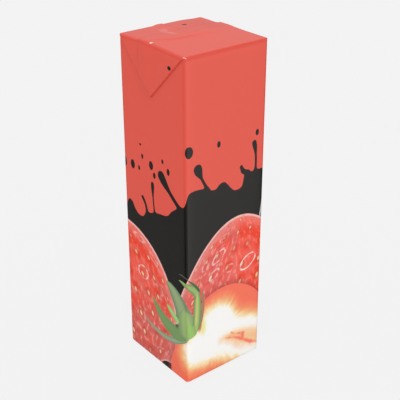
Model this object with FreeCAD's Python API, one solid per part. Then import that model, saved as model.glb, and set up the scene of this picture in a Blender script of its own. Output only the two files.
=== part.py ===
"""A shut one-litre juice carton, folded from one sheet of board, as one solid.

Millimetres, +Z up. The origin is on the floor under the middle of the carton, and
the top fin lies over towards +Y, the back. Each lap of the sheet is the carton's
own rounded block, grown by the lap's thickness and kept only inside its outline.
"""
import FreeCAD, Part
import os

from FreeCAD import Vector

# Driving dimensions
WIDTH = 64.5            # across the front, along X
DEPTH = 67.0            # front to back, along Y
SHOULDER = 232.0        # floor to the creases round the top
FOLD_RADIUS = 2.0       # outside radius of every long crease
TOP_RISE = 1.1          # how far the top swells up from its creases to the fin
BOARD = 0.42            # one layer of board
FIN_WIDTH = 12.0        # sealed fin, from its fold to its cut edge
SEAM_WIDTH = 7.2        # lap of the long seam down the back
SEAM_SIDE = -3.6        # middle of the long seam, along X
EAR_SETBACK = 0.6       # an ear's slanting fold, in from the corner it starts at

# What follows from them
DOUBLE = 2 * BOARD              # a flattened fold, such as an ear or a fin
EAR_REACH = DEPTH / 2           # an ear is half as long as its side is wide
EAR_TIP = EAR_REACH - EAR_SETBACK
FAR = WIDTH + DEPTH + SHOULDER  # past every face, for the cutting outlines


def prism(outline, sweep):
    """A flat outline swept along a straight line."""
    return Part.Face(Part.makePolygon(outline + outline[:1])).extrude(sweep)


def slab(x=(-FAR, FAR), y=(-FAR, FAR), z=(-FAR, FAR)):
    """An upright box between the given limits, endless where none is given."""
    size = [high - low for low, high in (x, y, z)]
    return Part.makeBox(*size, Vector(x[0], y[0], z[0]))


def is_ridge(edge):
    """True for the edge along the middle of the top, which stays a shallow ridge."""
    along_x = abs(edge.tangentAt(edge.FirstParameter).x) > 0.5
    return along_x and abs(edge.CenterOfMass.y) < DEPTH / 4


def block(side=0.0, back=0.0, top=0.0, bottom=0.0):
    """The carton with plain faces and rounded creases, each face grown outwards."""
    half_x = WIDTH / 2 + side
    back_y = DEPTH / 2 + back
    base_z = DOUBLE - bottom
    shoulder_z = SHOULDER + top
    outline = [
        Vector(-half_x, -DEPTH / 2, base_z),
        Vector(-half_x, back_y, base_z),
        Vector(-half_x, back_y, shoulder_z),
        Vector(-half_x, 0, shoulder_z + TOP_RISE),
        Vector(-half_x, -DEPTH / 2, shoulder_z),
    ]
    solid = prism(outline, Vector(2 * half_x, 0, 0))
    return solid.makeFillet(FOLD_RADIUS, [edge for edge in solid.Edges if not is_ridge(edge)])


def top_ears():
    """The triangular ears, folded down from the top creases to a point on each side."""
    tip_z = SHOULDER - EAR_TIP
    outline = [
        Vector(-FAR, 0, tip_z),
        Vector(-FAR, FAR, tip_z + FAR),
        Vector(-FAR, -FAR, tip_z + FAR),
    ]
    return block(side=DOUBLE).common(prism(outline, Vector(2 * FAR, 0, 0)))


def top_fin():
    """The sealed fin, laid back over the top and on down both ears to their points."""
    strip = slab(y=(0, FIN_WIDTH), z=(SHOULDER - EAR_REACH, FAR))
    return block(side=2 * DOUBLE, top=DOUBLE).common(strip)


def back_seam():
    """The long seam: one layer more up the back, over the top and under the base."""
    strip = slab(x=(SEAM_SIDE - SEAM_WIDTH / 2, SEAM_SIDE + SEAM_WIDTH / 2), y=(0, FAR))
    return block(back=BOARD, top=BOARD, bottom=BOARD).common(strip)


def bottom_fin():
    """The lower fin, pressed flat against the base under the bottom ears."""
    strip = slab(y=(0, FIN_WIDTH), z=(-FAR, EAR_REACH))
    return block(bottom=BOARD).common(strip)


def bottom_ear(side):
    """An ear folded in under the base from one side, which the carton stands on."""
    tip_x = side * (WIDTH / 2 - EAR_TIP)
    outline = [
        Vector(tip_x, 0, -FAR),
        Vector(tip_x + side * FAR, FAR, -FAR),
        Vector(tip_x + side * FAR, -FAR, -FAR),
    ]
    foot = prism(outline, Vector(0, 0, FAR + FOLD_RADIUS))
    return block(bottom=DOUBLE).common(foot)


def carton():
    """The whole folded and filled carton as one closed solid."""
    laps = [top_ears(), top_fin(), back_seam(), bottom_fin(), bottom_ear(-1), bottom_ear(1)]
    return block().multiFuse(laps).removeSplitter().Solids[0]


os.makedirs("parts", exist_ok=True)
carton().exportStep("parts/carton.step")
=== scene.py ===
"""The looks of a shut, folded juice carton, laid out as a Blender add-on.

Lengths are metres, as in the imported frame. The print is drawn on the flat sheet in
millimetres: "along" runs round the carton from its front left crease, "up" from the floor.
"""
import math
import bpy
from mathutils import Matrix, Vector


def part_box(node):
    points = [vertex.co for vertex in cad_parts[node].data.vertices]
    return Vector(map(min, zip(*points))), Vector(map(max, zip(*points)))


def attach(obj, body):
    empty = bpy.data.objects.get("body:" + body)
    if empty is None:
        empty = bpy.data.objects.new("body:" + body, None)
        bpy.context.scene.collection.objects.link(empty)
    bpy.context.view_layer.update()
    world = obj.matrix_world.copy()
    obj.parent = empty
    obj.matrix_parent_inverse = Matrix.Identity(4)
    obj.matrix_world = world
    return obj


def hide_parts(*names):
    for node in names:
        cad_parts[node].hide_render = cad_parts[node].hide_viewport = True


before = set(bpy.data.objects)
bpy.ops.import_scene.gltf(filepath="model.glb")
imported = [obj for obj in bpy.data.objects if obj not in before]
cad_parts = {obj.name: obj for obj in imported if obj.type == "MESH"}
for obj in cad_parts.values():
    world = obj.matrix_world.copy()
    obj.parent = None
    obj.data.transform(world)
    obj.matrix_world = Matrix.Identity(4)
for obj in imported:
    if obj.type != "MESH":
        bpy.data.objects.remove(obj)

from types import SimpleNamespace

import bmesh
import bpy
from bpy.props import FloatProperty, FloatVectorProperty, PointerProperty
from mathutils import Vector

bl_info = {
    "name": "Juice Carton",
    "version": (1, 0, 0),
    "blender": (4, 5, 0),
    "location": "View3D > Sidebar > Carton",
    "description": "Folds, prints and lights a shut juice carton round its packed model",
    "category": "Object",
}

MM = 0.001
NODE = "carton"
BODY = "root"
LOW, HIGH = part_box(NODE)
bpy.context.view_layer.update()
WALLS, LID, BASE, RAW = range(4)            # which panel of the flat sheet a place is on


# ---- settings

def length(name, description, default_mm):
    """A property in metres, given in millimetres."""
    return FloatProperty(
        name=name, description=description, default=default_mm * MM, unit="LENGTH", precision=5)


def amount(name, description, default):
    """A number that is never below zero."""
    return FloatProperty(name=name, description=description, default=default, min=0.0)


def bearing(name, description, degrees):
    """An angle, given in degrees."""
    return FloatProperty(
        name=name, description=description, default=math.radians(degrees), subtype="ANGLE")


def colour(name, description, default):
    """A colour property, in linear light."""
    return FloatVectorProperty(
        name=name, description=description, default=default, subtype="COLOR", size=3,
        min=0.0, max=1.0)


class CartonSheet(bpy.types.PropertyGroup):
    """Sizes of the folded sheet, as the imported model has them."""
    board: length("Board", "One layer of board", 0.42)
    crease: length("Crease", "Outside radius of the upright creases", 2.0)
    rim: length("Rim", "Height of the rounding round the top and the base", 1.0)
    top_rise: length("Top rise", "How far the top swells up towards the fin", 1.1)
    fin_width: length("Fin width", "Sealed fin, from its fold to its cut edge", 12.0)
    seam_width: length("Seam width", "Lap of the long seam", 7.2)
    seam_side: length("Seam side", "Middle of the long seam, along X", -3.6)
    ear_setback: length("Ear setback", "An ear's slanting fold, in from its corner", 0.6)
    swell: length("Swell", "How far a full panel stands out past its creases", 0.45)
    spacing: length("Grid spacing", "Grid of the plain panels", 4.0)


class CartonInks(bpy.types.PropertyGroup):
    """Colours of the print."""
    field: colour("Field", "The red that covers the sheet", (0.80, 0.094, 0.062))
    splash: colour("Splash", "The dark liquid", (0.011, 0.010, 0.008))


class CartonStage(bpy.types.PropertyGroup):
    """Light, floor and camera."""
    floor: colour("Floor", "Floor and background", (0.888, 0.888, 0.888))
    sky: amount("Sky", "Even light from all round", 0.76)
    key: amount("Key", "Strength of the lamp overhead", 1.03)
    fill: amount("Fill", "Strength of the lamp in front", 0.18)
    rim: amount("Rim", "Strength of the lamp behind", 0.035)
    glow_front: amount("Front glow", "What a gloss mirrors from the front", 0.98)
    glow_above: amount("High glow", "What a gloss mirrors from above", 0.28)
    glow_side: amount("Side glow", "What a gloss mirrors from behind", 0.19)
    azimuth: bearing("Azimuth", "Camera's turn about the carton", -38.8)
    elevation: bearing("Elevation", "Camera's height above level", 26.82)
    distance: length("Distance", "Camera to its aim", 594.9)
    lens: amount("Lens", "Focal length in millimetres", 78.7)


# ---- the folded sheet

CREASE_STEPS = 4        # grid lines round each half of a rounded crease
BESIDE_CREASE = (1.0, 2.4, 4.2, 6.5)        # grid lines beside a crease, mm
FULLNESS = 2.5          # distance from a crease over which a panel fills out, mm
FOLD_BEND = 0.6         # how far in a flattened fold reaches its full height, mm
FOLD_CURVE = (0.0, 0.05, 0.2, 0.5, 1.0)     # lines round that bend, as shares of it
CUT_WALL = 0.05         # how far in a cut edge reaches its full height, mm
MARGIN = 0.35           # a line each side of a lap's edge, to hold its shading, mm
SOFT_BEND = 1.9         # half the width of the slope over a buried edge, mm
BLEND = 8.0             # height over which the panels take up the lids' shape, mm
FIN_LINES = tuple(range(-11, 8))            # grid lines over the fin's soft fold, mm
END_LINES = (11.0, 9.5, 8.0, 6.5)           # grid lines near the fin's two ends, mm
FIN_BEND_START = -10.0  # where along X the fin's soft fold starts to bend back, mm
FIN_BEND_RUN = 17.0     # how much further it is fully bent, mm
FIN_BEND = 7.5          # how far back it is there, mm
FIN_SOFT_FOLD = -4.2    # the middle of its slope along Y, where it is straight, mm
FIN_END_SHIFT = 3.2     # how far back that lies near its +X end, mm
FIN_SLOPE, FIN_END_SLOPE = 10.0, 20.0       # width of its slope where straight, and at that end, mm
FIN_SLOPE_START, FIN_END_FRONT = -5.0, 8.0  # where the slope starts, and how much sooner there, mm
FIN_RISE, FIN_END_SINK = 0.75, 0.3          # its height, and how much lower that end is, as shares
FIN_STEP, FIN_STEP_START = 0.12, -0.5       # the crisp step in its rise: share, and start in mm
FIN_GROOVE, FIN_GROOVE_WIDTH = 0.12, 0.9    # the groove along that step: share, and width in mm
FIN_ON_EAR = 0.55       # its height down an ear, as a share
EAR_SINK = 0.8          # how much of that is lost towards the cut edge, as a share
LID_DIP = 0.6           # depth of the dip in the lid's corner, as a share of its rise
FRONT_FOOT = 0.5        # how far the base's front and back edges stand down, as a share
# Slopes: where each one starts, and how much further on it is over, mm.
END_SINKS = (14.0, 16.0)                    # along X, the fin towards its +X end
STEP_FADES, GROOVE_FADES = (6.0, -20.0), (2.0, -12.0)       # along X
RIDGE_SINKS = (8.0, 22.0)                   # along X, the ridge of the lid
DIP_ALONG, DIP_BACK = (14.0, 14.0), (12.0, 4.0)             # along X and Y
EAR_RISES, EAR_SINKS, EAR_ENDS = (-1.5, 5.0), 5.0, 9.0      # along Y, Y and Z, the fin on an ear


def carton_plan(sheet):
    """The sizes that the shape is worked out from, in metres."""
    double = 2 * sheet.board
    half_x = (HIGH.x - LOW.x) / 2 - 2 * double
    half_y = (HIGH.y - LOW.y - sheet.board) / 2
    shoulder = HIGH.z - double - sheet.top_rise
    ear_tip = half_y - sheet.ear_setback
    return SimpleNamespace(
        sheet=sheet, double=double, half_x=half_x, half_y=half_y,
        base=LOW.z + double, shoulder=shoulder,
        ear_tip=ear_tip, ear_tip_z=shoulder - ear_tip, fin_end_z=shoulder - half_y,
        seam_cut=sheet.seam_side + sheet.seam_width / 2,
        seam_soft=sheet.seam_side - sheet.seam_width / 2)


def lines_across(low, high, radius, spacing, extra):
    """Grid lines over one side of the block: close round its creases and at its laps."""
    near = [radius * (1 - math.tan(math.pi / 4 * k / CREASE_STEPS)) for k in range(CREASE_STEPS + 1)]
    near += [radius + step * MM for step in BESIDE_CREASE]
    inside = near[-1]
    steps = round((high - low - 2 * inside) / spacing)
    plain = [low + inside + (high - low - 2 * inside) * k / steps for k in range(1, steps)]
    lines = [low + n for n in near] + [high - n for n in near] + plain
    lines = [p for p in lines if all(abs(p - e) > 0.3 * MM for e in extra)]
    return sorted(lines + list(extra))


def cut_lines(at, inward):
    """Lines along a cut edge, which stands up straight."""
    return [at + inward * step * MM for step in (-MARGIN, 0.0, CUT_WALL, CUT_WALL + MARGIN)]


def soft_lines(at):
    """Lines along an edge that lies buried under another layer."""
    return [at + SOFT_BEND * share * MM for share in (-1.0, -0.5, 0.0, 0.5, 1.0)]


def flat_block(xs, ys, zs):
    """A plain block with a grid of lines over every side."""
    bm = bmesh.new()
    made = {}

    def corner(*place):
        if place not in made:
            made[place] = bm.verts.new((xs[place[0]], ys[place[1]], zs[place[2]]))
        return made[place]

    last = (len(xs) - 1, len(ys) - 1, len(zs) - 1)
    for axis in range(3):
        a, b = (axis + 1) % 3, (axis + 2) % 3
        for end in (0, last[axis]):
            for i in range(last[a]):
                for j in range(last[b]):
                    ring = []
                    for di, dj in ((0, 0), (1, 0), (1, 1), (0, 1)):
                        place = [0, 0, 0]
                        place[axis], place[a], place[b] = end, i + di, j + dj
                        ring.append(corner(*place))
                    bm.faces.new(ring if end else ring[::-1])
    return bm


def score(bm, wanted, origin, inward):
    """Scores a slanting fold across the wanted faces."""
    inward = inward.normalized()
    steps = [-MARGIN] + [FOLD_BEND * share for share in FOLD_CURVE] + [FOLD_BEND + MARGIN]
    for step in steps:
        faces = [face for face in bm.faces if wanted(face.calc_center_median())]
        edges = {edge for face in faces for edge in face.edges}
        verts = {vert for face in faces for vert in face.verts}
        bmesh.ops.bisect_plane(
            bm, geom=[*verts, *edges, *faces], dist=1e-8,
            plane_co=origin + inward * step * MM, plane_no=inward)


def score_ears(bm, plan):
    """The slanting folds of the four ears: two down the sides and two under the base."""
    near = 0.01 * MM
    for side in (-1, 1):
        for half in (-1, 1):
            score(
                bm,
                lambda c: c.x * side > plan.half_x - near and c.y * half > 0
                and c.z > plan.fin_end_z - plan.sheet.spacing,
                Vector((0, 0, plan.ear_tip_z)), Vector((0, -half, 1)))
            score(
                bm,
                lambda c: c.z < plan.base + near and c.y * half > 0 and c.x * side > 0,
                Vector((side * (plan.half_x - plan.ear_tip), 0, 0)), Vector((side, -half, 0)))


def clamp(value, low, high):
    return min(max(value, low), high)


def smooth(value):
    """Zero below 0, one above 1, and an even slope between."""
    value = clamp(value, 0.0, 1.0)
    return value * value * (3 - 2 * value)


def slope(value, start, run):
    """Zero at the start, one a run further on, and a soft slope between."""
    return smooth((value - start) / run)


def folded(distance):
    """Height over a flattened fold, as a share of full, by how far in from the fold."""
    share = clamp(distance / (FOLD_BEND * MM), 0.0, 1.0)
    return math.sqrt(1 - (1 - share) ** 2)


def cut(distance):
    """Height over a cut edge, as a share of full, by how far in from the edge."""
    return clamp(distance / (CUT_WALL * MM), 0.0, 1.0)


def fin_on_top(p, sheet):
    """Height of the flattened fin over the lid, as a share of full."""
    x, y = p.x / MM, p.y / MM
    end = slope(x, *END_SINKS)
    bend = clamp((FIN_BEND_START - x) / FIN_BEND_RUN, 0, 1) ** 2
    back = y - (FIN_BEND * bend + FIN_SOFT_FOLD + FIN_END_SHIFT * end)
    step = FIN_STEP * slope(x, *STEP_FADES)
    wide = FIN_SLOPE + (FIN_END_SLOPE - FIN_SLOPE) * end
    soft = slope(back, FIN_SLOPE_START - FIN_END_FRONT * end, wide)
    groove = FIN_GROOVE * slope(x, *GROOVE_FADES) * math.exp(-(back / FIN_GROOVE_WIDTH) ** 2)
    rise = step * slope(back, FIN_STEP_START, 1.0) + (1 - step) * soft - groove
    return rise * (FIN_RISE - FIN_END_SINK * end) * cut(sheet.fin_width - p.y)


def fin_on_ear(p, plan):
    """The same down an ear, where the layers are pressed together and fade out."""
    y = p.y / MM
    sinks = slope(y, EAR_SINKS, plan.sheet.fin_width / MM - EAR_SINKS)
    rise = slope(y, *EAR_RISES) * (1 - EAR_SINK * sinks) * cut(plan.sheet.fin_width - p.y)
    return FIN_ON_EAR * rise * smooth((p.z - plan.fin_end_z) / MM / EAR_ENDS)


def lap_heights(p, plan):
    """How far the laps stand out at a point of the plain block: side, back, top, base."""
    sheet, double = plan.sheet, plan.double
    x, y = p.x / MM, p.y / MM
    end = cut(sheet.fin_width - p.y)
    seam = smooth((p.x - plan.seam_soft) / (2 * SOFT_BEND * MM)) * cut(plan.seam_cut - p.x)
    seam *= sheet.board if p.y > 0 else 0.0
    ear = folded((p.z - plan.ear_tip_z - abs(p.y)) / math.sqrt(2))
    foot = folded((plan.ear_tip - plan.half_x + abs(p.x) - abs(p.y)) / math.sqrt(2))
    side = double * (ear + (2 - ear) * fin_on_ear(p, plan))
    ridge = (1 - abs(p.y) / plan.half_y) * (1 - slope(x, *RIDGE_SINKS))
    dip = slope(x, *DIP_ALONG) * slope(y, *DIP_BACK)
    top = sheet.top_rise * (ridge - LID_DIP * dip) + max(double * fin_on_top(p, sheet), seam)
    front = FRONT_FOOT * smooth((abs(p.y) - plan.half_y) / (4 * MM) + 1)
    base = max(double * max(foot, front), sheet.board * folded(p.y) * end, seam)
    return side, seam, top, base


def full(distance):
    """How far a panel has filled out, as a share, by how far it is from a crease."""
    return 1 - math.exp(-max(0.0, distance) / (FULLNESS * MM))


def pressed(p, plan):
    """Where a point of the plain block goes: creases rounded, panels full, laps raised."""
    radii = Vector((plan.sheet.crease, plan.sheet.crease, plan.sheet.rim))
    core = Vector((
        clamp(p.x, radii.x - plan.half_x, plan.half_x - radii.x),
        clamp(p.y, radii.y - plan.half_y, plan.half_y - radii.y),
        clamp(p.z, plan.base + radii.z, plan.shoulder - radii.z)))
    out = Vector([(p[k] - core[k]) / radii[k] for k in range(3)]).normalized()
    q = core + Vector([out[k] * radii[k] for k in range(3)])
    side, back, top, base = lap_heights(p, plan)
    tall = plan.sheet.swell * full(p.z - plan.base) * full(plan.shoulder - p.z)
    q.x += out.x * tall * full(plan.half_y - abs(p.y))
    q.y += out.y * tall * full(plan.half_x - abs(p.x))
    q.x *= 1 + side / plan.half_x
    q.y += back * max(0.0, q.y) / plan.half_y
    q.z += top * smooth((p.z - plan.shoulder + radii.z) / (BLEND * MM) + 1)
    q.z -= base * smooth((plan.base + radii.z - p.z) / (BLEND * MM) + 1)
    return q


def raw_edge(centre, plan):
    """Whether a face of the plain block is the raw edge of a lap."""
    def within(value, at):
        return at - CUT_WALL * MM < value < at
    fin = within(centre.y, plan.sheet.fin_width) and (
        centre.z < plan.base + MM or centre.z > plan.shoulder - MM)
    seam = within(centre.x, plan.seam_cut) and centre.y > plan.sheet.fin_width
    return fin or seam


def sheet_place(p, centre, plan):
    """Where a point lies on the flat sheet, in millimetres: (along, up, which panel)."""
    near = 0.01 * MM
    if raw_edge(centre, plan):
        return Vector((p.x, p.z, RAW * MM)) / MM
    wide, deep = 2 * plan.half_x, 2 * plan.half_y
    if centre.z > plan.shoulder - near:
        return Vector((p.x, p.y, LID * MM)) / MM
    if centre.z < plan.base + near:
        return Vector((p.x, p.y, BASE * MM)) / MM
    if centre.y < near - plan.half_y:
        along = p.x + plan.half_x
    elif centre.x < near - plan.half_x:
        along = -p.y - plan.half_y
    elif centre.x > plan.half_x - near:
        along = wide + p.y + plan.half_y
    elif centre.x > plan.seam_cut:
        along = wide + deep + plan.half_x - p.x
    else:
        along = -deep - plan.half_x - p.x
    return Vector((along, p.z, WALLS)) / MM


def bake_place(place, plan):
    """The same place on a square map: the walls side by side, and the lids above them."""
    gap = 1.0
    wide, deep = 2 * plan.half_x / MM, 2 * plan.half_y / MM
    round_all = 2 * (wide + deep)
    tall = plan.shoulder / MM
    along, up, panel = place
    if panel > BASE:
        along, up, panel = along * 0.1, plan.shoulder / MM, BASE
    if panel:
        along += wide / 2 + (panel - LID) * (wide + gap)
        up += deep / 2 + tall + gap
    else:
        along += deep + wide / 2 + (plan.seam_cut / MM)
    return (along + gap) / (round_all + 2 * gap), (up + gap) / (tall + deep + 3 * gap)


def fold_sheet(plan):
    """The whole folded sheet as one closed mesh."""
    sheet, spacing = plan.sheet, plan.sheet.spacing
    ends = [side * (plan.half_x - line * MM) for side in (-1, 1) for line in END_LINES]
    xs = lines_across(
        -plan.half_x, plan.half_x, sheet.crease, spacing,
        cut_lines(plan.seam_cut, -1) + soft_lines(plan.seam_soft) + ends)
    ys = lines_across(
        -plan.half_y, plan.half_y, sheet.crease, spacing,
        [line * MM for line in FIN_LINES] + cut_lines(sheet.fin_width, -1))
    zs = lines_across(
        plan.base, plan.shoulder, sheet.rim, spacing, cut_lines(plan.fin_end_z, 1))
    bm = flat_block(xs, ys, zs)
    score_ears(bm, plan)
    bake = bm.loops.layers.uv.new("OFBake")
    place = bm.loops.layers.float_vector.new("print_place")
    for face in bm.faces:
        face.smooth = True
        centre = face.calc_center_median()
        for loop in face.loops:
            loop[place] = sheet_place(loop.vert.co, centre, plan)
            loop[bake].uv = bake_place(loop[place], plan)
    for vert in bm.verts:
        vert.co = pressed(vert.co, plan)
    mesh = bpy.data.meshes.new("folded_sheet")
    bm.to_mesh(mesh)
    bm.free()
    return mesh


# ---- sums made with nodes

class Value:
    """A number, vector or colour that nodes work out. Arithmetic on it adds nodes."""

    def __init__(self, canvas, socket):
        self.canvas = canvas
        self.socket = socket

    def math(self, operation, *others):
        vector = self.socket.type == "VECTOR"
        kind = "ShaderNodeVectorMath" if vector else "ShaderNodeMath"
        return self.canvas.node(kind, self, *others, operation=operation)

    def __add__(self, other):
        return self.math("ADD", other)

    def __sub__(self, other):
        return self.math("SUBTRACT", other)

    def __rsub__(self, other):
        return self.canvas.node("ShaderNodeMath", other, self, operation="SUBTRACT")

    def __mul__(self, other):
        whole = isinstance(other, tuple) or isinstance(other, Value) and other.socket.type == "VECTOR"
        scaled = self.socket.type == "VECTOR" and not whole
        return self.math("SCALE" if scaled else "MULTIPLY", other)

    def __truediv__(self, other):
        return self.math("DIVIDE", other)

    def __pow__(self, other):
        return self.math("POWER", other)

    def __abs__(self):
        return self.math("ABSOLUTE")

    def on(self, panel):
        """One where this panel's number is the wanted one, and zero elsewhere."""
        return self.math("COMPARE", panel, 0.5)

    def parts(self):
        """The three numbers of a vector."""
        node = self.canvas.tree.nodes.new("ShaderNodeSeparateXYZ")
        self.canvas.feed(self, node.inputs[0])
        return [Value(self.canvas, socket) for socket in node.outputs]


class Canvas:
    """One node tree, with short ways to add to it."""

    def __init__(self, tree):
        self.tree = tree

    def feed(self, value, socket):
        """Links a worked-out value to a socket, or sets a plain one on it."""
        if isinstance(value, Value):
            self.tree.links.new(value.socket, socket)
        else:
            socket.default_value = value

    def node(self, kind, *values, **settings):
        """Adds a node, fills its sockets in order, and gives its first result."""
        node = self.tree.nodes.new(kind)
        for name, setting in settings.items():
            setattr(node, name, setting)
        for value, socket in zip(values, [s for s in node.inputs if s.enabled]):
            self.feed(value, socket)
        return Value(self, next(s for s in node.outputs if s.enabled))

    def use(self, group, *values):
        """Adds a node group, fills its sockets in order, and gives its result."""
        return self.node("ShaderNodeGroup", *values, node_tree=group)

    def vector(self, x, y, z=0.0):
        return self.node("ShaderNodeCombineXYZ", x, y, z)

    def ramp(self, value, low, high, low_result=0.0, high_result=1.0):
        """An even slope between two results while the value goes from low to high."""
        return self.node("ShaderNodeMapRange", value, low, high, low_result, high_result,
                         interpolation_type="SMOOTHSTEP")

    def clamp(self, value):
        """The value, held between 0 and 1."""
        return self.node("ShaderNodeClamp", value)

    def mix(self, share, first, second, **settings):
        """A blend of two colours."""
        return self.node("ShaderNodeMix", share, first, second, data_type="RGBA", **settings)

    def over(self, under, tint, value, low, high, most=1.0):
        """A colour, tinted more as the value goes from low to high."""
        return self.mix(self.ramp(value, low, high, 0.0, most), under, tint)

    def noise(self, place, scale, detail=1.0):
        """Soft random values about a half."""
        return self.node("ShaderNodeTexNoise", place, scale, detail, noise_dimensions="2D")

    def least(self, *values):
        """The least of several values."""
        result = values[0]
        for value in values[1:]:
            result = result.math("MINIMUM", value)
        return result


# Sockets by how many numbers they hold.
SOCKET_KINDS = {1: "NodeSocketFloat", 3: "NodeSocketVector", 4: "NodeSocketColor"}
SPOT, SIZES, TINT = (0.0,) * 3, (1.0,) * 3, (0.0,) * 4      # what a group's inputs start as


def new_group(name, size, draw):
    """A shader node group: draw() turns its inputs into its result, of that many numbers.

    Its inputs are draw()'s arguments after the canvas, and start as their annotations say.
    """
    inputs = draw.__annotations__
    tree = bpy.data.node_groups.new(name, "ShaderNodeTree")
    for label, default in inputs.items():
        kind = SOCKET_KINDS[len(default) if isinstance(default, tuple) else 1]
        title = label.replace("_", " ").title()
        socket = tree.interface.new_socket(title, in_out="INPUT", socket_type=kind)
        socket.default_value = default
    tree.interface.new_socket("Result", in_out="OUTPUT", socket_type=SOCKET_KINDS[size])
    canvas = Canvas(tree)
    start = tree.nodes.new("NodeGroupInput")
    end = tree.nodes.new("NodeGroupOutput")
    made = draw(canvas, *[Value(canvas, socket) for socket in start.outputs[:len(inputs)]])
    canvas.feed(made, end.inputs[0])
    return tree


# ---- simple shapes of the print

FAR = 1000.0            # puts a shape out of reach of the panels it isn't on, mm
CRISP = 0.15            # half the width over which a printed edge fades, mm
RAW_BOARD = (0.72, 0.64, 0.52, 1)
# Colour of the painted highlights on the lid's front corner, the fin's end and the lid.
PAINTED_HIGHLIGHT = (1.0, 0.82, 0.74, 1)
# A faint painted highlight on the lid, shaped like the light caught by a soft dent: two ends, half
# widths, bend.
DENT_HIGHLIGHT = ((-8.0, 20.0, LID), (-9.5, 6.5, LID), 1.6, 1.0, 1.5)
# Painted highlights, small white spots where the lid's front corner and the fin's end catch a lamp:
# middle, which panel, half width, half height.
HIGHLIGHT_SPOTS = (
    (0.0, 232.0, WALLS, 0.8, 0.5), (-32.4, -32.4, LID, 1.2, 1.2), (-30.9, 0.2, LID, 1.6, 0.8))


def offset_group(girth):
    """From a shape's middle to a place, the short way round the carton."""
    def draw(canvas, place: SPOT, middle: SPOT):
        along, up, panel = (place - middle).parts()
        return canvas.vector(along.math("WRAP", girth / 2, -girth / 2), up + panel * FAR)
    return new_group("Offset", 3, draw)


def drop_group(offset):
    """An oval drop: how far outside it a place is."""
    def draw(canvas, place: SPOT, middle: SPOT, radius: SIZES):
        inside = (canvas.use(offset, place, middle) / radius).math("LENGTH")
        wide, high, _ = radius.parts()
        return (inside - 1.0) * wide.math("MINIMUM", high)
    return new_group("Drop", 1, draw)


def arm_group(offset):
    """A bent arm of liquid with a swollen head: how far outside it a place is."""
    def draw(canvas, place: SPOT, head: SPOT, foot: SPOT, head_radius: 1.0, foot_radius: 1.0,
             bend: 0.0):
        away = canvas.use(offset, place, head)
        axis = foot - head
        length = axis.math("LENGTH")
        share = canvas.clamp(away.math("DOT_PRODUCT", axis) / (length * length))
        bow = share * (1.0 - share) * 4.0 * bend
        side = axis.math("CROSS_PRODUCT", (0.0, 0.0, 1.0)) / length
        middle = axis * share + side * bow
        radius = canvas.ramp(share, 0.05, 0.5, head_radius, foot_radius)
        return (away - middle).math("LENGTH") - radius
    return new_group("Arm", 1, draw)


def leaf_group():
    """A bent leaf painted over a colour: round at its root, pointed at its tip."""
    def draw(canvas, under: TINT, place: SPOT, root: SPOT, tip: SPOT, width: 1.0, bow: 0.0,
             bluntness: 2.0, colour: TINT, edge: TINT):
        away = place - root
        axis = tip - root
        length = axis.math("LENGTH")
        share = away.math("DOT_PRODUCT", axis) / (length * length)
        side = away.math("DOT_PRODUCT", axis.math("CROSS_PRODUCT", (0.0, 0.0, -1.0))) / length
        across = abs(side - share * (1.0 - share) * 4.0 * bow)
        full = canvas.clamp(share) ** bluntness
        start = canvas.clamp(share * 5.0)
        half = (1.0 - full) ** 0.6 * (start * (2.0 - start)) ** 0.5 * width
        beyond = (share - 1.0).math("MAXIMUM", share * -1.0) * length
        outside = (across - half).math("MAXIMUM", beyond)
        tone = canvas.over(colour, edge, across / half, 0.2, 1.0)
        return canvas.over(under, tone, outside, CRISP, -CRISP)
    return new_group("Leaf", 4, draw)


# ---- the dark splash

# The splash's edge round the sheet from seam to seam: along, up.
SPLASH_EDGE = (
    (-99.2, 131), (-92, 124), (-86, 133), (-80, 128), (-73, 117), (-67, 113), (-61.3, 119.1),
    (-54.8, 113.6), (-48.8, 111.1), (-42.8, 115.6), (-34.8, 118.6), (-28.8, 120.6),
    (-20.8, 122.2), (-14.8, 127.6), (-7.8, 132.6), (-2.8, 135.1), (0, 140.2), (3.2, 145.6),
    (8, 146), (17, 144), (22.4, 142), (26, 144.3), (29.2, 145.2), (32.5, 143.2), (36.4, 138.8),
    (40.5, 136.4), (44, 136.9), (46, 139.5), (47.2, 145.2), (49.6, 147), (53.5, 145.8), (63, 145.6),
    (72, 141), (80, 147),
    (88, 150), (95, 143), (103, 133), (110, 130), (118, 135), (125, 146), (132, 149), (140, 140),
    (150, 131), (157, 134), (163.8, 131))
SPLASH_LOW, SPLASH_HIGH = 95.0, 165.0       # range of heights that the edge is drawn in, mm
SLOPE = 0.75            # a height over the edge, as the shortest way to it
JOIN = 4.0              # how softly an arm flows into the splash, mm

# Arms: head, foot, radius of head and foot, bend.
ARMS = (
    ((-25.0, 148.8), (-4.5, 132.0), 3.6, 1.7, 1.0),
    ((-34.7, 139.5), (-33.0, 118.5), 1.7, 0.7, 0.5),
    ((-46.2, 126.0), (-41.6, 116.0), 1.4, 1.2, -1.0),
    ((8.8, 160.0), (16.6, 144.4), 3.2, 1.0, 0.5),
    ((44.4, 151.4), (49.0, 146.4), 1.4, 1.8, 1.0),
    ((55.0, 165.4), (56.6, 146.6), 1.9, 0.9, -0.8),
    ((88.0, 170.0), (90.5, 149.0), 2.6, 1.0, 0.8),
    ((116.0, 151.0), (112.5, 131.0), 2.0, 0.8, -0.8),
    ((140.0, 163.0), (133.0, 148.0), 3.0, 1.1, 0.8),
    ((-84.0, 152.0), (-85.5, 133.0), 2.2, 0.9, 0.6))

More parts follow.
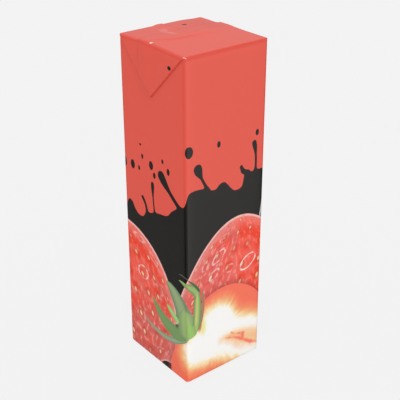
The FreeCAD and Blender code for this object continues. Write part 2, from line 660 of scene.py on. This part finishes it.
# Drops: along, up, half width, half height.
DROPS = (
    (2.1, 172.6, 3.1, 3.9), (25.4, 172.2, 1.4, 2.2), (57.2, 172.2, 1.4, 2.2),
    (-35.8, 152.4, 2.2, 3.1), (-56.4, 146.4, 2.3, 3.2), (-65.0, 145.4, 1.5, 3.4),
    (-17.6, 154.2, 1.5, 2.4), (-23.4, 159.4, 1.1, 1.6), (-45.2, 155.6, 1.1, 1.8),
    (-49.2, 146.2, 1.1, 1.7), (-32.5, 146.4, 1.4, 2.2), (-47.2, 163.4, 1.1, 0.8),
    (-13.8, 222.7, 1.7, 1.3), (79.0, 163.0, 1.3, 2.0), (98.0, 158.0, 1.6, 2.4),
    (104.0, 147.0, 1.1, 1.7), (127.0, 160.0, 1.5, 2.2), (152.0, 146.0, 2.2, 3.1),
    (160.0, 153.0, 1.2, 1.8), (-75.0, 139.0, 1.2, 1.9))
TOP_DROP = (9.7, 21.3, 1.7, 1.4)           # across, back, half width, half depth


def splash_group(drop, arm):
    """The splash with its arms and drops: how far outside it a place is."""
    def draw(canvas, place: SPOT):
        along, up, panel = place.parts()
        start, end = SPLASH_EDGE[0][0], SPLASH_EDGE[-1][0]
        edge = canvas.tree.nodes.new("ShaderNodeFloatCurve")
        curve = edge.mapping.curves[0]
        for _ in SPLASH_EDGE[2:]:
            curve.points.new(0.5, 0.5)
        for point, (where, high) in zip(curve.points, SPLASH_EDGE):
            point.location = (
                (where - start) / (end - start),
                (high - SPLASH_LOW) / (SPLASH_HIGH - SPLASH_LOW))
        edge.mapping.update()
        canvas.feed((along - start) / (end - start), edge.inputs["Value"])
        height = Value(canvas, edge.outputs[0]) * (SPLASH_HIGH - SPLASH_LOW) + SPLASH_LOW
        outside = (up - height) * SLOPE
        for head, foot, *sizes in ARMS:
            near = canvas.use(arm, place, (*head, 0), (*foot, 0), *sizes)
            outside = outside.math("SMOOTH_MIN", near, JOIN)
        outside = outside + panel.on(LID) * FAR
        drops = [(across, high, WALLS, wide, tall) for across, high, wide, tall in DROPS]
        drops.append((*TOP_DROP[:2], LID, *TOP_DROP[2:]))
        near = [canvas.use(drop, place, spot[:3], (*spot[3:], 1.0)) for spot in drops]
        return canvas.least(outside, *near)
    return new_group("Splash", 1, draw)


# ---- the fruit

FLESH = (0.92, 0.05, 0.012, 1)
DARK_STREAK = (0.62, 0.035, 0.018, 1)
PALE_STREAK = (1.0, 0.46, 0.38, 1)
SHADED_FLESH = (0.45, 0.03, 0.02, 1)
LIT_FLESH = (0.98, 0.45, 0.40, 1)
RIM_GLOW = (0.97, 0.42, 0.38, 1)
RIM_LINE = (0.99, 0.62, 0.58, 1)
SEED_HOLLOW = (0.55, 0.05, 0.03, 1)
SEED = (0.86, 0.56, 0.30, 1)
SEED_LIGHT = (0.95, 0.80, 0.55, 1)


def strawberry_group(offset):
    """A whole strawberry painted over a colour: seeds in hollows, pale streaks and a pale rim."""
    def draw(canvas, under: TINT, place: SPOT, middle: SPOT, radius: SIZES, taper: 0.0, pale: TINT,
             pale_side: SPOT, light: SPOT, across: SIZES, up: SIZES, shift: SPOT):
        x, y, _ = (canvas.use(offset, place, middle) / radius).parts()
        x = x / (1.0 - y * taper)
        flat = canvas.vector(x, y)
        out = flat.math("LENGTH").math("MINIMUM", 2.0)
        inner = out.math("MINIMUM", 1.0)
        height = (1.0 - inner * inner) ** 0.5
        spread = flat * (inner.math("ARCSINE") / inner)
        rows = canvas.vector(
            spread.math("DOT_PRODUCT", across), spread.math("DOT_PRODUCT", up)) + shift
        seeds = canvas.tree.nodes.new("ShaderNodeTexVoronoi")
        seeds.voronoi_dimensions = "2D"
        seeds.inputs["Scale"].default_value = 1.0
        seeds.inputs["Randomness"].default_value = 0.2
        canvas.feed(rows, seeds.inputs["Vector"])
        gap = rows - Value(canvas, seeds.outputs["Position"])
        reach = gap.math("LENGTH")
        hollow = canvas.node(
            "ShaderNodeMath", reach * reach * -14.0, operation="EXPONENT") * 0.9
        gap_across, gap_up, _ = gap.parts()
        tilt = (across * gap_across + up * gap_up) * hollow
        normal = (canvas.vector(x, y, height) - tilt).math("NORMALIZE")
        lit = normal.math("DOT_PRODUCT", light)
        blotch = canvas.noise(spread, 3.0, 3.0) - 0.5
        towards_pale = canvas.vector(x, y, 1.0).math("DOT_PRODUCT", pale_side)
        paleness = canvas.ramp(towards_pale + blotch * 1.6, -0.35, 0.4)
        around = x / ((1.0 - y * y).math("MAXIMUM", 0.0) ** 0.5 + 0.05)
        streak = canvas.noise(canvas.vector(around * 17.0, y * 11.0), 1.0, 3.0)
        flesh = canvas.mix(paleness, FLESH, pale)
        flesh = canvas.over(flesh, DARK_STREAK, streak, 0.46, 0.30, 0.4)
        streaked = canvas.ramp(streak, 0.53, 0.70) * (paleness * 0.3 + 0.25)
        flesh = canvas.mix(streaked, flesh, PALE_STREAK)
        flesh = canvas.over(flesh, SHADED_FLESH, lit, 0.75, 0.1, 0.5)
        flesh = canvas.over(flesh, LIT_FLESH, lit, 0.90, 1.0, 0.15)
        flesh = canvas.over(flesh, RIM_GLOW, out, 0.80, 0.97, 0.35)
        flesh = canvas.over(flesh, RIM_LINE, out, 0.965, 0.985, 0.75)
        kernel = (gap * (1.0, 0.62, 1.0)).math("LENGTH")
        flesh = canvas.over(flesh, SEED_HOLLOW, kernel, 0.19, 0.10, 0.5)
        faint = canvas.ramp(canvas.noise(rows, 0.9, 1.0), 0.35, 0.6, 0.35, 1.0)
        flesh = canvas.mix(canvas.ramp(kernel, 0.095, 0.06) * faint, flesh, SEED)
        flesh = canvas.mix(canvas.ramp(kernel, 0.05, 0.0) * faint * 0.8, flesh, SEED_LIGHT)
        wide, high, _ = radius.parts()
        outside = (out - 1.0) * wide.math("MINIMUM", high)
        return canvas.over(under, flesh, outside, CRISP, -CRISP)
    return new_group("Strawberry", 4, draw)


FOLD_SHADE_TINT = (0.88, 0.66, 0.62, 1)            # what the print is multiplied by where the painted shade is darkest
# Bands of painted shade in the creases and folds: how far from its middle a band starts and is whole,
# mm, and its strength.
CREASE_BAND = (1.8, 0.4, 0.35)
EAR_BAND = (1.2, 0.3, 0.7)
BROW_BAND = (2.0, 0.4, 1.0)
FIN_BAND = (1.3, 0.2, 0.45)
EDGE_BAND = (2.2, 0.6, 0.7)
CREASE_IN = 1.5         # the upright bands' middles, in from the creases on the side walls, mm
BROW_DROP = 0.8         # the middle of the band under the lid, below the lid, mm
BROW_ON_EAR, BROW_ON_FRONT = 0.6, 0.8       # strength of the band under the lid
EAR_BEHIND = 0.1        # strength of an ear's band on its back half, as a share
FIN_SHADE = -3.6        # the middle of the band before the fin, along Y where it is straight, mm


def fold_shade_group(plan):
    """Painted shade on the print: darker beside the upright creases, along the ears' slanting folds,
    just under the lid, and on the lid before the fin and along its edges.
    """
    half = plan.half_y / MM
    quarter = (plan.half_x + plan.half_y) / MM

    def draw(canvas, under: TINT, place: SPOT):
        def band(away, start, whole, strength):
            return canvas.ramp(abs(away), start, whole, 0.0, strength)

        along, up, panel = place.parts()
        from_middle = (along + half).math("WRAP", quarter, -quarter)
        from_ear = abs(from_middle)
        in_front = (from_middle * (plan.half_x / MM - along)).math("GREATER_THAN", 0.0)
        crease = band(from_ear - (half - CREASE_IN), *CREASE_BAND)
        fold = band(up - from_ear - plan.ear_tip_z / MM, *EAR_BAND)
        fold = fold * (in_front * (1 - EAR_BEHIND) + EAR_BEHIND)
        brow = band(up - (plan.shoulder / MM - BROW_DROP), *BROW_BAND)
        on_front = from_ear.math("GREATER_THAN", half)
        brow = brow * (on_front * (BROW_ON_FRONT - BROW_ON_EAR) + BROW_ON_EAR)
        shade = crease.math("MAXIMUM", fold).math("MAXIMUM", brow) * panel.on(WALLS)
        bend = canvas.clamp((along - FIN_BEND_START) / -FIN_BEND_RUN) ** 2.0
        fin = band(up - bend * FIN_BEND - FIN_SHADE, *FIN_BAND) * canvas.ramp(along, 6.0, -8.0)
        to_side = plan.half_x / MM - abs(along)
        to_front = plan.half_y / MM - abs(up)
        edge = band(to_side.math("MINIMUM", to_front), *EDGE_BAND)
        shade = shade + fin.math("MAXIMUM", edge) * panel.on(LID)
        return canvas.mix(shade, under, FOLD_SHADE_TINT, blend_type="MULTIPLY")
    return new_group("Fold Shade", 4, draw)


GLINT = (0.99, 0.78, 0.74, 1)
# Wet glints round the seeds: along, up, half width, half height, turn in degrees, strength.
GLINTS = (
    (52.0, 79.0, 7.4, 4.4, 32, 1.0), (26.5, 92.0, 6.6, 2.6, 38, 0.7),
    (22.5, 79.5, 4.8, 2.4, 38, 0.6), (36.0, 79.5, 3.8, 2.6, 15, 0.5),
    (31.0, 104.0, 4.2, 2.0, 30, 0.35), (14.8, 88.0, 3.4, 1.8, 60, 0.4),
    (-48.4, 67.2, 5.6, 4.9, -15, 0.9), (-52.0, 93.0, 6.0, 2.0, -12, 0.45),
    (-36.0, 83.0, 5.0, 1.6, -40, 0.4))


def glint_group(offset):
    """A broken ring of light painted over a colour."""
    def draw(canvas, under: TINT, place: SPOT, middle: SPOT, radius: SIZES, turn: SIZES,
             strength: 1.0):
        away = canvas.use(offset, place, middle)
        across = away.math("DOT_PRODUCT", turn)
        up = away.math("DOT_PRODUCT", turn.math("CROSS_PRODUCT", (0.0, 0.0, -1.0)))
        ring = (canvas.vector(across, up) / radius).math("LENGTH") - 1.0
        _, high, _ = radius.parts()
        line = canvas.ramp(abs(ring * high), 0.65, 0.15)
        broken = canvas.ramp(canvas.noise(place, 0.22, 2.0), 0.40, 0.60, 0.15, 1.0)
        return canvas.mix(line * broken * strength, under, GLINT)
    return new_group("Glint", 4, draw)


CUT_TONES = (
    (0.00, (0.968, 0.968, 0.950)), (0.13, (0.965, 0.93, 0.76)), (0.30, (0.955, 0.68, 0.36)),
    (0.46, (0.95, 0.42, 0.18)), (0.64, (0.95, 0.26, 0.12)), (0.90, (0.95, 0.17, 0.09)))
HEART = (               # the white heart's arms: head, foot, radius of head and foot
    ((26.0, 38.5), (62.0, 24.5), 11.5, 2.0), ((9.5, 26.0), (60.0, 3.0), 8.8, 2.6))
VEINS = (
    ((33.5, 23.6), (48.0, 16.6), 0.2, 0.9, -0.8), ((48.0, 16.6), (65.0, 6.8), 1.0, 0.8, 0.8),
    ((49.2, 13.5), (49.0, 20.5), 0.2, 0.8, 0.0), ((38.5, 26.0), (46.0, 22.0), -0.3, 0.0, 0.6))
# The cut berry's ovals: middle, half width and half height.
CUT_TOP = ((31.0, 18.0, 0.0), (42.0, 48.8, 1.0))
CUT_FOOT = ((8.0, 2.0, 0.0), (26.0, 37.0, 1.0))
CUT_SPOT = ((13.2, 42.0, 0.0), (2.6, 6.5, 1.0))
CUT_MARK = ((10.2, 45.0, 0.0), (1.8, 5.6, 1.0))
HEART_MIDDLE = (24.0, 30.0, 0.0)            # where the fine rays start
HEART_HOLLOW = ((31.0, 24.0, 0.0), (66.0, 11.0, 0.0), 2.5, 8.0, 0.0)
VEIN = (0.95, 0.15, 0.08, 1)
CUT_HOLLOW = (0.95, 0.58, 0.32, 1)
CUT_GLOW = (0.84, 0.78, 0.20, 1)
CUT_SKIN = (0.93, 0.16, 0.11, 1)
CUT_BRUISE = (0.55, 0.09, 0.06, 1)
CUT_SHADOW = (0.40, 0.03, 0.02, 1)


def cut_group(offset, drop, arm):
    """A strawberry cut in half, painted over a colour."""
    def draw(canvas, under: TINT, place: SPOT):
        upper = canvas.use(drop, place, *CUT_TOP)
        lower = canvas.use(drop, place, *CUT_FOOT)
        outside = upper.math("SMOOTH_MIN", lower, 3.0)
        first, second = [
            canvas.use(arm, place, (*head, 0), (*foot, 0), *radii, 0.0)
            for head, foot, *radii in HEART]
        heart = first.math("SMOOTH_MIN", second, 5.0)
        x, y, _ = canvas.use(offset, place, HEART_MIDDLE).parts()
        rays = canvas.noise(canvas.vector(y.math("ARCTAN2", x) * 7.0, heart * 0.05), 1.6, 2.0) - 0.5
        wobble = canvas.noise(place, 0.12, 3.0) - 0.5
        fade = heart / 17.0 + rays * 0.24 + wobble * 0.25
        ramp = canvas.tree.nodes.new("ShaderNodeValToRGB")
        while len(ramp.color_ramp.elements) < len(CUT_TONES):
            ramp.color_ramp.elements.new(1.0)
        for element, (where, tone) in zip(ramp.color_ramp.elements, CUT_TONES):
            element.position = where
            element.color = (*tone, 1)
        canvas.feed(fade, ramp.inputs[0])
        flesh = Value(canvas, ramp.outputs[0])
        hollow = canvas.use(arm, place, *HEART_HOLLOW)
        flesh = canvas.over(flesh, CUT_HOLLOW, hollow + wobble * 8.0, 4.0, -5.0, 0.8)
        veins = [canvas.use(arm, place, (*vein[0], 0), (*vein[1], 0), *vein[2:]) for vein in VEINS]
        from_vein = canvas.least(*veins) + wobble * 5.0
        flesh = canvas.over(flesh, VEIN, from_vein, 1.4, -0.6, 0.85)
        glow = canvas.use(drop, place, *CUT_SPOT)
        flesh = canvas.over(flesh, CUT_GLOW, glow, 1.2, -1.6, 0.8)
        flesh = canvas.over(flesh, CUT_SKIN, outside, -3.5, 0.0, 0.6)
        bruise = canvas.use(drop, place, *CUT_MARK)
        flesh = canvas.over(flesh, CUT_BRUISE, bruise, 0.6, -0.8, 0.85)
        shade = canvas.over(under, CUT_SHADOW, outside, 5.0, 0.0, 0.5)
        return canvas.over(shade, flesh, outside, CRISP, -CRISP)
    return new_group("Cut Strawberry", 4, draw)


# Leaves of the crown, about its own middle: root, tip, half width, bow, bluntness, colour, edge.
CROWN = (
    ((4.0, 0.5), (-49.0, -9.0), 2.3, 9.0, 3.0, (0.31, 0.41, 0.28), (0.19, 0.30, 0.15)),
    ((0.0, -2.0), (-38.0, 12.5), 6.6, 7.4, 1.6, (0.20, 0.33, 0.12), (0.16, 0.33, 0.11)),
    ((-2.0, 1.0), (-21.0, 33.5), 8.0, -5.5, 2.6, (0.31, 0.42, 0.20), (0.17, 0.26, 0.15)),
    ((1.0, -3.0), (-3.0, 19.0), 8.0, 0.0, 4.0, (0.33, 0.50, 0.17), (0.24, 0.35, 0.15)),
    ((-12.0, 1.5), (-9.0, 4.0), 1.8, 0.0, 2.0, (0.09, 0.12, 0.05), (0.17, 0.20, 0.09)),
    ((-8.5, 6.0), (-21.5, 14.5), 2.2, 0.0, 5.0, (0.33, 0.73, 0.19), (0.26, 0.46, 0.15)),
    ((9.5, 2.0), (12.0, 33.0), 1.3, -2.2, 4.0, (0.37, 0.23, 0.14), (0.39, 0.13, 0.07)),
    ((7.0, 0.0), (8.2, 34.0), 3.3, -0.6, 5.0, (0.34, 0.53, 0.15), (0.16, 0.28, 0.10)),
    ((9.2, 27.0), (-8.0, 40.3), 3.0, -3.6, 1.6, (0.31, 0.48, 0.15), (0.16, 0.28, 0.10)),
    ((7.0, 5.0), (8.0, 31.0), 1.5, -0.5, 3.0, (0.56, 0.58, 0.18), (0.37, 0.48, 0.14)),
    ((10.4, 31.0), (0.3, 43.2), 0.9, -0.8, 3.0, (0.06, 0.13, 0.05), (0.08, 0.17, 0.06)),
    ((1.0, 43.0), (-8.5, 44.5), 0.45, -1.4, 3.0, (0.13, 0.14, 0.11), (0.06, 0.07, 0.05)),
    ((4.0, -3.2), (1.0, 9.0), 4.6, 0.0, 2.0, (0.31, 0.55, 0.13), (0.27, 0.43, 0.13)))


def crown_group(offset, leaf):
    """The strawberry's green crown painted over a colour."""
    def draw(canvas, under: TINT, place: SPOT, middle: SPOT):
        near = canvas.use(offset, place, middle)
        paint = under
        for root, tip, width, bow, bluntness, colour, edge in CROWN:
            paint = canvas.use(
                leaf, paint, near, (*root, 0), (*tip, 0), width, bow, bluntness, (*colour, 1),
                (*edge, 1))
        return paint
    return new_group("Crown", 4, draw)


# Whole strawberries: middle, radius, taper, pale ink, its side, light, seeds across, up, shift.
BERRIES = (
    ((119.0, 34.0), (28.0, 36.0), 0.1, (0.80, 0.16, 0.12), (0.8, -0.3, 0.0), (-0.2, 0.4, 0.9),
     (1.7, -0.6), (0.0, 2.3), (0.0, 0.0)),
    ((43.0, 56.0), (52.8, 61.0), 0.24, (0.80, 0.12, 0.10), (-1.1, 0.1, -0.2), (0.1, 0.4, 0.9),
     (3.23, -1.12), (0.07, 3.80), (0.20, -0.44)),
    ((-68.2, 38.6), (58.0, 63.4), 0.0, (0.72, 0.125, 0.10), (0.3, -1.0, 0.0), (0.3, 0.4, 0.87),
     (3.17, 1.35), (-0.97, 3.58), (-0.58, -0.26)))
SPIKE = (               # a thin white spike: root, tip, half width, bow, bluntness, colour, edge
    (61.9, 110.0, 0.0), (63.6, 124.0, 0.0), 0.6, 0.0, 1.0, (0.75, 0.75, 0.75, 1),
    (0.45, 0.45, 0.45, 1))
GAP = ((-17.5, -1.5, 0.0), (13.0, 8.6, 1.0))    # a dark gap under the left berry
GAP_RIM = (0.97, 0.50, 0.46, 1)
CROWN_PLACE = (0.0, 40.0, 0.0)


def carton_print_group(plan):
    """All of the carton's print, with painted shade in its folds and painted highlights on the lid,
    from a place on its flat sheet.
    """
    offset = offset_group(4 * (plan.half_x + plan.half_y) / MM)
    drop = drop_group(offset)
    arm = arm_group(offset)
    leaf = leaf_group()
    splash = splash_group(drop, arm)
    berry = strawberry_group(offset)
    glint = glint_group(offset)
    fold_shade = fold_shade_group(plan)
    cut_berry = cut_group(offset, drop, arm)
    crown = crown_group(offset, leaf)

    def draw(canvas, place: SPOT, field: TINT, dark: TINT):
        paint = canvas.over(field, dark, canvas.use(splash, place), CRISP, -CRISP)
        paint = canvas.use(leaf, paint, place, *SPIKE)
        for middle, radius, taper, pale, side, light, *seeds in BERRIES:
            paint = canvas.use(
                berry, paint, place, (*middle, 0), (*radius, 1), taper, (*pale, 1), side,
                Vector(light).normalized(), *[(*seed, 0) for seed in seeds])
        for along, up, wide, high, turn, strength in GLINTS:
            angle = math.radians(turn)
            paint = canvas.use(
                glint, paint, place, (along, up, 0.0), (wide, high, 1.0),
                (math.cos(angle), math.sin(angle), 0.0), strength)
        gap = canvas.use(drop, place, *GAP)
        paint = canvas.over(paint, GAP_RIM, gap, 1.6, 0.4, 0.6)
        paint = canvas.over(paint, dark, gap, CRISP, -CRISP)
        paint = canvas.use(cut_berry, paint, place)
        paint = canvas.use(crown, paint, place, CROWN_PLACE)
        # Painted shade in the creases and folds, over the print.
        paint = canvas.use(fold_shade, paint, place)
        # Painted highlights: white spots at the lid's front corner and at the fin's end.
        glare_spots = [canvas.use(drop, place, glare_spot[:3], (*glare_spot[3:], 1.0)) for glare_spot in HIGHLIGHT_SPOTS]
        paint = canvas.over(paint, PAINTED_HIGHLIGHT, canvas.least(*glare_spots), 0.3, -0.6)
        # A faint painted highlight on the lid, shaped like light caught by a soft dent.
        dent_glare = canvas.use(arm, place, *DENT_HIGHLIGHT)
        paint = canvas.over(paint, PAINTED_HIGHLIGHT, dent_glare, 2.2, -0.6, 0.1)
        _, _, panel = place.parts()
        return canvas.mix(panel.on(RAW), paint, RAW_BOARD)
    return new_group("Carton Print", 4, draw)


# ---- materials

def new_material(name):
    """A material with nothing but its output and a Principled shader."""
    material = bpy.data.materials.new(name)
    material.use_nodes = True
    tree = material.node_tree
    return material, tree, tree.nodes["Principled BSDF"]


def printed_board(inks, plan):
    """The sheet's outside: ink, with painted shade and highlights, under a thin clear film."""
    material, tree, shader = new_material("printed_board")
    canvas = Canvas(tree)
    place = canvas.tree.nodes.new("ShaderNodeAttribute")
    place.attribute_name = "print_place"
    ink = canvas.use(
        carton_print_group(plan), Value(canvas, place.outputs["Vector"]), (*inks.field, 1),
        (*inks.splash, 1))
    canvas.feed(ink, shader.inputs["Base Color"])
    shader.inputs["Roughness"].default_value = 0.26
    return material


# ---- pieces

def add_object(name, mesh, material):
    """An object at the origin, in the scene, with its material."""
    made = bpy.data.objects.new(name, mesh)
    bpy.context.scene.collection.objects.link(made)
    mesh.materials.append(material)
    return made


class CARTON_OT_sheet(bpy.types.Operator):
    """Fold the printed sheet into the shut carton"""
    bl_idname = "carton.sheet"
    bl_label = "Fold the Sheet"

    def execute(self, context):
        plan = carton_plan(context.scene.carton_sheet)
        board = printed_board(context.scene.carton_inks, plan)
        skin = add_object("folded_carton", fold_sheet(plan), board)
        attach(skin, BODY)
        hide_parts(NODE)
        return {"FINISHED"}


# ---- the stage

FLOOR_SHARE = 0.94      # how much of the floor that is seen is plain tone; the rest takes shadow
AIM = (6.35, 1.0, 115.93)                   # where the camera looks, mm
LAMPS = (               # setting, spread in degrees, where it shines from
    ("key", 12, (-0.18, -0.21, 0.97)), ("fill", 40, (-0.45, -0.75, 0.45)),
    ("rim", 40, (0.59, 0.75, 0.29)))


def floor_material(stage):
    """A pale floor: one plain tone with a faint shadow, and clear to a gloss's reflections."""
    material, tree, shader = new_material("pale_floor")
    shader.inputs["Base Color"].default_value = (*stage.floor, 1)
    shader.inputs["Roughness"].default_value = 0.9
    shader.inputs["Specular IOR Level"].default_value = 0.0
    canvas = Canvas(tree)
    path = tree.nodes.new("ShaderNodeLightPath")
    plain = canvas.node("ShaderNodeEmission", (*stage.floor, 1), 1.0)
    clear = canvas.node("ShaderNodeBsdfTransparent")
    seen = Value(canvas, path.outputs["Is Camera Ray"]) * FLOOR_SHARE
    surface = canvas.node("ShaderNodeMixShader", seen, Value(canvas, shader.outputs[0]), plain)
    surface = canvas.node(
        "ShaderNodeMixShader", Value(canvas, path.outputs["Is Glossy Ray"]), surface, clear)
    canvas.feed(surface, tree.nodes["Material Output"].inputs["Surface"])
    return material


def add_floor(stage):
    """A wide disc that fills the camera's view."""
    bm = bmesh.new()
    bmesh.ops.create_circle(bm, cap_ends=True, radius=4.0, segments=64)
    mesh = bpy.data.meshes.new("floor")
    bm.to_mesh(mesh)
    bm.free()
    add_object("floor", mesh, floor_material(stage))


def add_aimed(name, data, towards, place=(0, 0, 0)):
    """A lamp or camera that is turned to look back along a direction."""
    made = bpy.data.objects.new(name, data)
    made.location = place
    made.rotation_mode = "QUATERNION"
    made.rotation_quaternion = Vector(towards).to_track_quat("Z", "Y")
    bpy.context.scene.collection.objects.link(made)
    return made


def add_suns(stage):
    """Even lamps, each shining from its own direction."""
    for name, spread, towards in LAMPS:
        lamp = bpy.data.lights.new(name, "SUN")
        lamp.energy = getattr(stage, name)
        lamp.angle = math.radians(spread)
        add_aimed(name, lamp, towards)


def add_world(stage):
    """Even pale light, with the soft lights that the carton's gloss mirrors."""
    world = bpy.data.worlds.new("studio")
    world.use_nodes = True
    tree = world.node_tree
    canvas = Canvas(tree)
    path = tree.nodes.new("ShaderNodeLightPath")
    towards = tree.nodes.new("ShaderNodeTexCoord")
    _, y, z = Value(canvas, towards.outputs["Generated"]).parts()
    front = canvas.ramp(y, -0.35, -0.95, 0.0, stage.glow_front)
    side = canvas.ramp(y, 0.25, 0.65, 0.0, stage.glow_side)
    above = canvas.ramp(z, 0.0, 0.4, 0.0, stage.glow_above)
    mirrored = front + side + above
    camera = Value(canvas, path.outputs["Is Camera Ray"])
    glossy = Value(canvas, path.outputs["Is Glossy Ray"])
    strength = glossy * (mirrored - stage.sky) + camera * (stage.floor[0] - stage.sky) + stage.sky
    background = tree.nodes["Background"]
    background.inputs["Color"].default_value = (1, 1, 1, 1)
    canvas.feed(strength, background.inputs["Strength"])
    bpy.context.scene.world = world


def add_camera(stage):
    """The camera, aimed a little past the carton's middle."""
    camera = bpy.data.cameras.new("camera")
    camera.lens = stage.lens
    camera.clip_start = 0.01
    a, e = stage.azimuth, stage.elevation
    back = Vector((math.sin(a) * math.cos(e), -math.cos(a) * math.cos(e), math.sin(e)))
    place = Vector(AIM) * MM + back * stage.distance
    bpy.context.scene.camera = add_aimed("camera", camera, back, place)


class CARTON_OT_stage(bpy.types.Operator):
    """Set the floor, the light and the camera"""
    bl_idname = "carton.stage"
    bl_label = "Set the Stage"

    def execute(self, context):
        stage = context.scene.carton_stage
        add_floor(stage)
        add_world(stage)
        add_suns(stage)
        add_camera(stage)
        context.scene.view_settings.view_transform = "Standard"
        return {"FINISHED"}


class CARTON_PT_tools(bpy.types.Panel):
    """The carton's settings and steps"""
    bl_idname = "CARTON_PT_tools"
    bl_label = "Juice Carton"
    bl_space_type = "VIEW_3D"
    bl_region_type = "UI"
    bl_category = "Carton"

    def draw(self, context):
        for operator in OPERATORS:
            self.layout.operator(operator.bl_idname)
        for group in ("carton_sheet", "carton_inks", "carton_stage"):
            box = self.layout.box()
            settings = getattr(context.scene, group)
            for name in settings.__annotations__:
                box.prop(settings, name)


OPERATORS = (CARTON_OT_sheet, CARTON_OT_stage)
SETTINGS = {"carton_sheet": CartonSheet, "carton_inks": CartonInks, "carton_stage": CartonStage}
CLASSES = (*SETTINGS.values(), *OPERATORS, CARTON_PT_tools)


def register():
    for cls in CLASSES:
        bpy.utils.register_class(cls)
    for name, group in SETTINGS.items():
        setattr(bpy.types.Scene, name, PointerProperty(type=group))


def unregister():
    for name in SETTINGS:
        delattr(bpy.types.Scene, name)
    for cls in reversed(CLASSES):
        bpy.utils.unregister_class(cls)


def main():
    register()
    bpy.ops.carton.stage()
    bpy.ops.carton.sheet()


if __name__ == "__main__":
    main()
